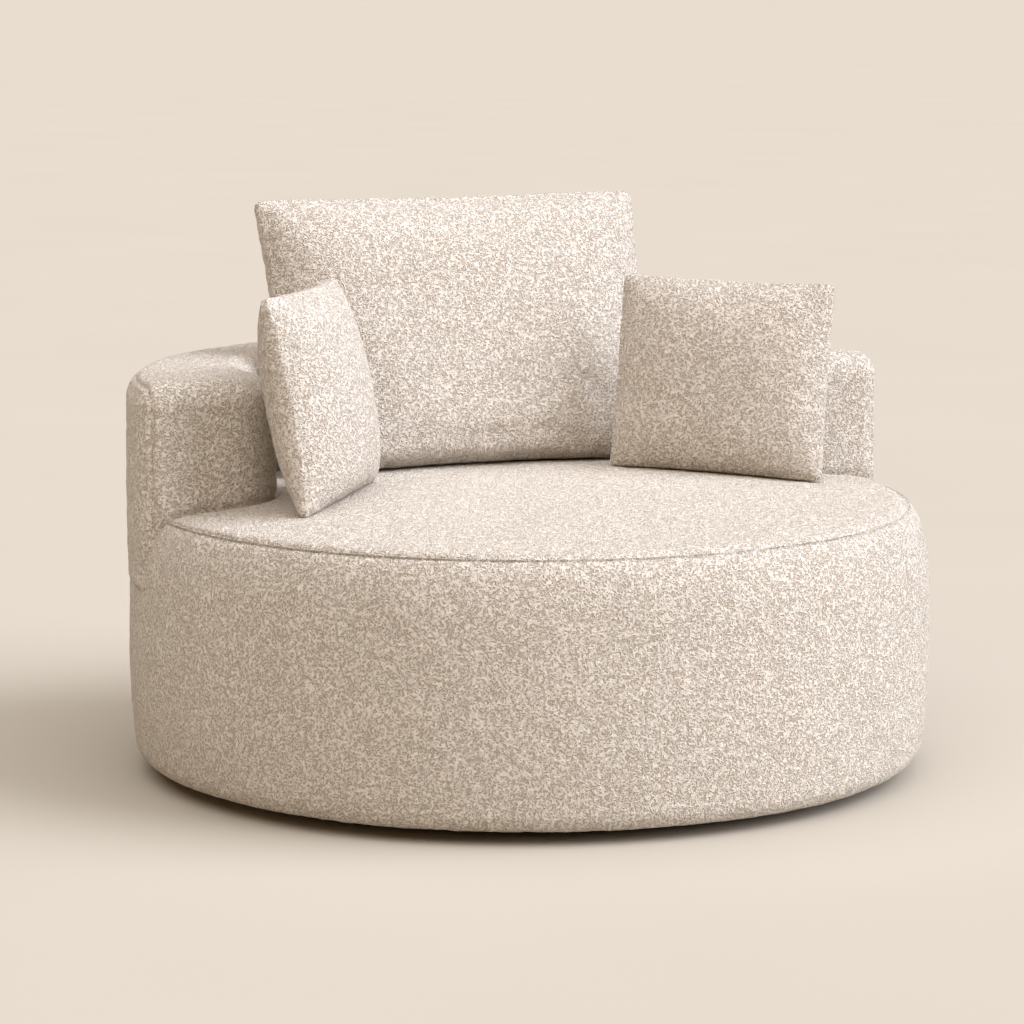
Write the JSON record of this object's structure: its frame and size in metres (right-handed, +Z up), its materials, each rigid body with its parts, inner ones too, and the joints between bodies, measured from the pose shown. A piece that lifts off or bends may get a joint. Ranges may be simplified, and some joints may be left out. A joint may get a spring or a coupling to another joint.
{
  "type": "swivel armchair",
  "caption": "Round upholstered swivel armchair: deep drum seat, low curved wall for back and arms, loose back cushion and two scatter pillows.",
  "frame": {"origin": "on the floor, on the swivel axis, under the middle of the drum", "axes": "+Z up, the chair faces -Y, +X to the right when looking along +Y at the chair's front"},
  "size_m": [1.2998, 1.3, 0.9062],
  "materials": {
    "boucle": "curly ivory boucle",
    "foam": "open-cell upholstery foam",
    "fibre": "soft fibre filling in a plain inner case",
    "felt": "needled felt",
    "board": "birch plywood",
    "beech": "planed beech",
    "fibreboard": "thin bent fibreboard",
    "dark_board": "black-stained plywood",
    "zinc_steel": "zinc-plated steel",
    "spring_steel": "tempered spring wire",
    "bearing_steel": "polished balls",
    "black_cloth": "thin black cloth",
    "nylon": "black nylon"
  },
  "bodies": {
    "base": {"floor_glides": "nylon", "base_disc": "dark_board", "swivel_lower_plate": "zinc_steel", "lower_plate_screws": "zinc_steel"},
    "bearing": {"ball_cage": "nylon", "bearing_balls": "bearing_steel"},
    "seat": {"swivel_upper_plate": "zinc_steel", "upper_plate_screws": "zinc_steel", "bottom_board": "board", "skirt_ring": "board", "drum_posts": "beech", "top_ring": "board", "frame_screws": "zinc_steel", "dust_cover": "black_cloth", "drum_liner": "fibreboard", "seat_springs": "spring_steel", "spring_clips": "zinc_steel", "clip_nails": "zinc_steel", "spring_pad": "felt", "drum_side_foam": "foam", "seat_foam": "foam", "seat_top_cover": "boucle", "drum_side_cover": "boucle", "wall_bottom_rail": "board", "wall_top_rail": "board", "wall_ribs": "board", "arm_front_boards": "board", "wall_bolts": "zinc_steel", "wall_nuts": "zinc_steel", "wall_inner_liner": "fibreboard", "wall_outer_liner": "fibreboard", "wall_inner_foam": "foam", "wall_outer_foam": "foam", "wall_top_foam": "foam", "arm_end_foams": "foam", "wall_inner_cover": "boucle", "wall_outer_cover": "boucle"},
    "back_cushion": {"back_cushion_cover": "boucle", "back_cushion_fill": "fibre"},
    "left_pillow": {"left_pillow_cover": "boucle", "left_pillow_fill": "fibre"},
    "right_pillow": {"right_pillow_cover": "boucle", "right_pillow_fill": "fibre"}
  },
  "joints": [
    {"name": "swivel", "type": "hinge", "parent": "base", "child": "seat", "pos_m": [0, 0, 0.0355], "axis": [0, 0, 1], "continuous": true},
    {"name": "bearing_roll", "type": "hinge", "parent": "base", "child": "bearing", "pos_m": [0, 0, 0.0355], "axis": [0, 0, 1], "continuous": true},
    {"name": "back_cushion_lift", "type": "slide", "parent": "seat", "child": "back_cushion", "axis": [0, 0.309, 0.9511], "range_m": [0, 0.34]},
    {"name": "left_pillow_lift", "type": "slide", "parent": "seat", "child": "left_pillow", "axis": [0, 0, 1], "range_m": [0, 0.3]},
    {"name": "right_pillow_lift", "type": "slide", "parent": "seat", "child": "right_pillow", "axis": [0, 0, 1], "range_m": [0, 0.3]}
  ],
  "couplings": [
    {"joint": "bearing_roll", "follows": "swivel", "ratio": 0.5}
  ]
}
